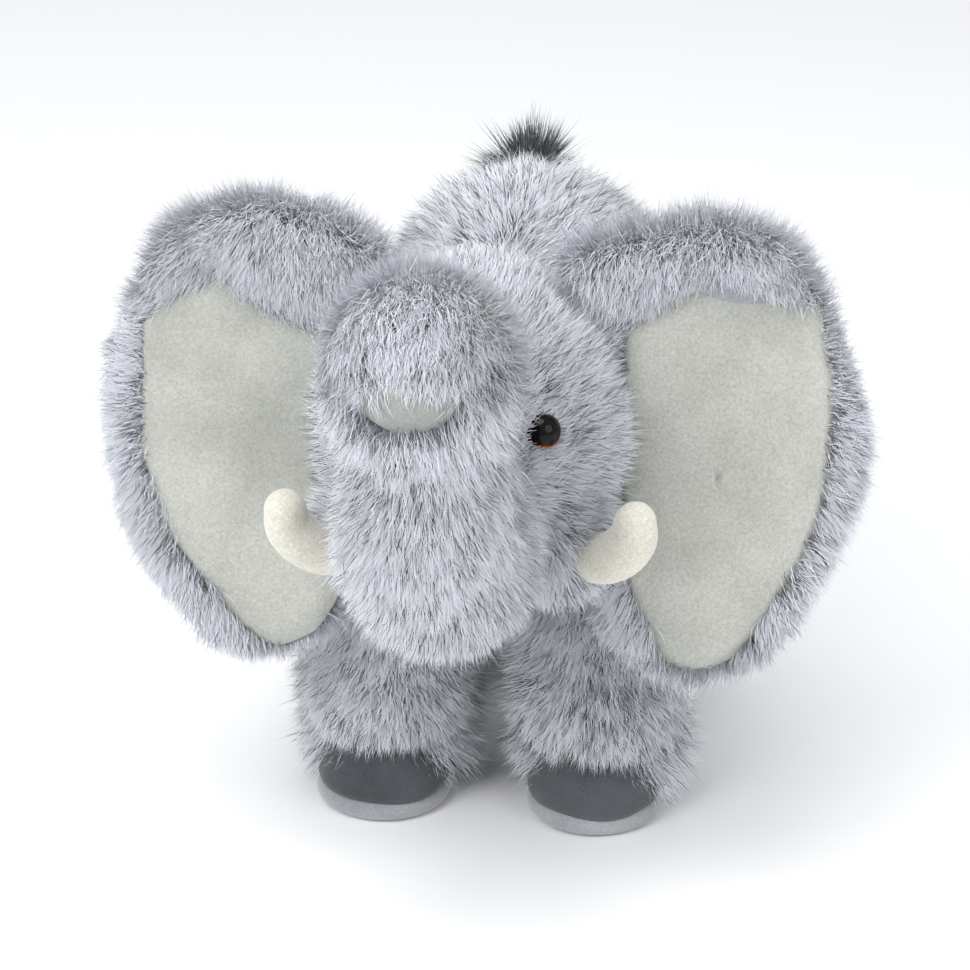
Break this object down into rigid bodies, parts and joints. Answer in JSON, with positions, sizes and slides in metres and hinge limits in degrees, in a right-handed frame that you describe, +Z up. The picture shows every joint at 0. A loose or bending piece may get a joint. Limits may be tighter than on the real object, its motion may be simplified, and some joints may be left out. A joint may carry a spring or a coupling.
{
  "type": "stuffed elephant",
  "caption": "Standing stuffed elephant in long grey plush with large velour-faced ears, a raised trunk, tusks, sewn legs and a tufted tail.",
  "frame": {"origin": "on the floor, under the middle of the overall box", "axes": "the elephant faces -Y, its left side is +X, +Z up"},
  "size_m": [0.2838, 0.3666, 0.274],
  "materials": {
    "pile_grey": "long pile plush",
    "velour_grey": "short pile velour",
    "plush_cream": "short pile plush",
    "toe_charcoal": "short pile plush",
    "sole_grey": "short pile plush",
    "bristle_charcoal": "coarse bristly pile",
    "eye_plastic": "gloss",
    "washer_plastic": "satin",
    "stuffing": "polyester fibre"
  },
  "bodies": {
    "torso": {"torso_stuffing": "stuffing", "torso_skin_left": "pile_grey", "torso_skin_right": "pile_grey", "belly_gusset": "pile_grey"},
    "head": {"head_stuffing": "stuffing", "head_skin_left": "pile_grey", "head_skin_right": "pile_grey", "head_gusset": "pile_grey", "eye_left": "eye_plastic", "eye_right": "eye_plastic", "eye_washer_left": "washer_plastic", "eye_washer_right": "washer_plastic", "tusk_cover_left": "plush_cream", "tusk_cover_right": "plush_cream", "tusk_stuffing_left": "stuffing", "tusk_stuffing_right": "stuffing"},
    "trunk": {"trunk_base_stuffing": "stuffing", "trunk_base_skin_left": "pile_grey", "trunk_base_skin_right": "pile_grey"},
    "trunk_tip": {"trunk_tip_stuffing": "stuffing", "trunk_tip_skin": "pile_grey", "trunk_tip_pad": "velour_grey"},
    "tail": {"tail_stuffing": "stuffing", "tail_skin": "pile_grey", "tail_tuft": "bristle_charcoal"},
    "ear_left": {"ear_back_left": "pile_grey", "ear_batting_left": "stuffing", "ear_front_left": "velour_grey"},
    "ear_right": {"ear_back_right": "pile_grey", "ear_batting_right": "stuffing", "ear_front_right": "velour_grey"},
    "leg_front_left": {"leg_stuffing_front_left": "stuffing", "leg_sleeve_front_left": "pile_grey", "toe_cap_front_left": "toe_charcoal", "sole_front_left": "sole_grey"},
    "leg_front_right": {"leg_stuffing_front_right": "stuffing", "leg_sleeve_front_right": "pile_grey", "toe_cap_front_right": "toe_charcoal", "sole_front_right": "sole_grey"},
    "leg_rear_left": {"leg_stuffing_rear_left": "stuffing", "leg_sleeve_rear_left": "pile_grey", "toe_cap_rear_left": "toe_charcoal", "sole_rear_left": "sole_grey"},
    "leg_rear_right": {"leg_stuffing_rear_right": "stuffing", "leg_sleeve_rear_right": "pile_grey", "toe_cap_rear_right": "toe_charcoal", "sole_rear_right": "sole_grey"}
  },
  "joints": [
    {"name": "neck_nod", "type": "hinge", "parent": "torso", "child": "head", "pos_m": [0, -0.04773, 0.178], "axis": [1, 0, 0], "range_deg": [-8, 8], "stiffness_Nm_per_rad": 4},
    {"name": "trunk_lift", "type": "hinge", "parent": "head", "child": "trunk", "pos_m": [0, -0.08373, 0.155], "axis": [-1, 0, 0], "range_deg": [-10, 8], "stiffness_Nm_per_rad": 1.5},
    {"name": "trunk_curl", "type": "hinge", "parent": "trunk", "child": "trunk_tip", "pos_m": [0, -0.14473, 0.198], "axis": [-1, 0, 0], "range_deg": [-12, 10], "stiffness_Nm_per_rad": 0.8},
    {"name": "tail_swing", "type": "hinge", "parent": "torso", "child": "tail", "pos_m": [0, 0.13627, 0.186], "axis": [1, 0, 0], "range_deg": [-15, 15], "stiffness_Nm_per_rad": 0.2},
    {"name": "ear_left_flap", "type": "hinge", "parent": "head", "child": "ear_left", "pos_m": [0.062, -0.04773, 0.178], "axis": [0, 0.1392, 0.9903], "range_deg": [-25, 20], "stiffness_Nm_per_rad": 0.3},
    {"name": "ear_right_flap", "type": "hinge", "parent": "head", "child": "ear_right", "pos_m": [-0.062, -0.04773, 0.178], "axis": [0, -0.1392, -0.9903], "range_deg": [-25, 20], "stiffness_Nm_per_rad": 0.3},
    {"name": "hip_front_left", "type": "hinge", "parent": "torso", "child": "leg_front_left", "pos_m": [0.041, -0.00373, 0.1], "axis": [-1, 0, 0], "range_deg": [-10, 10], "stiffness_Nm_per_rad": 4},
    {"name": "hip_front_right", "type": "hinge", "parent": "torso", "child": "leg_front_right", "pos_m": [-0.041, -0.00373, 0.1], "axis": [-1, 0, 0], "range_deg": [-10, 10], "stiffness_Nm_per_rad": 4},
    {"name": "hip_rear_left", "type": "hinge", "parent": "torso", "child": "leg_rear_left", "pos_m": [0.041, 0.09827, 0.1], "axis": [-1, 0, 0], "range_deg": [-10, 10], "stiffness_Nm_per_rad": 4},
    {"name": "hip_rear_right", "type": "hinge", "parent": "torso", "child": "leg_rear_right", "pos_m": [-0.041, 0.09827, 0.1], "axis": [-1, 0, 0], "range_deg": [-10, 10], "stiffness_Nm_per_rad": 4}
  ]
}
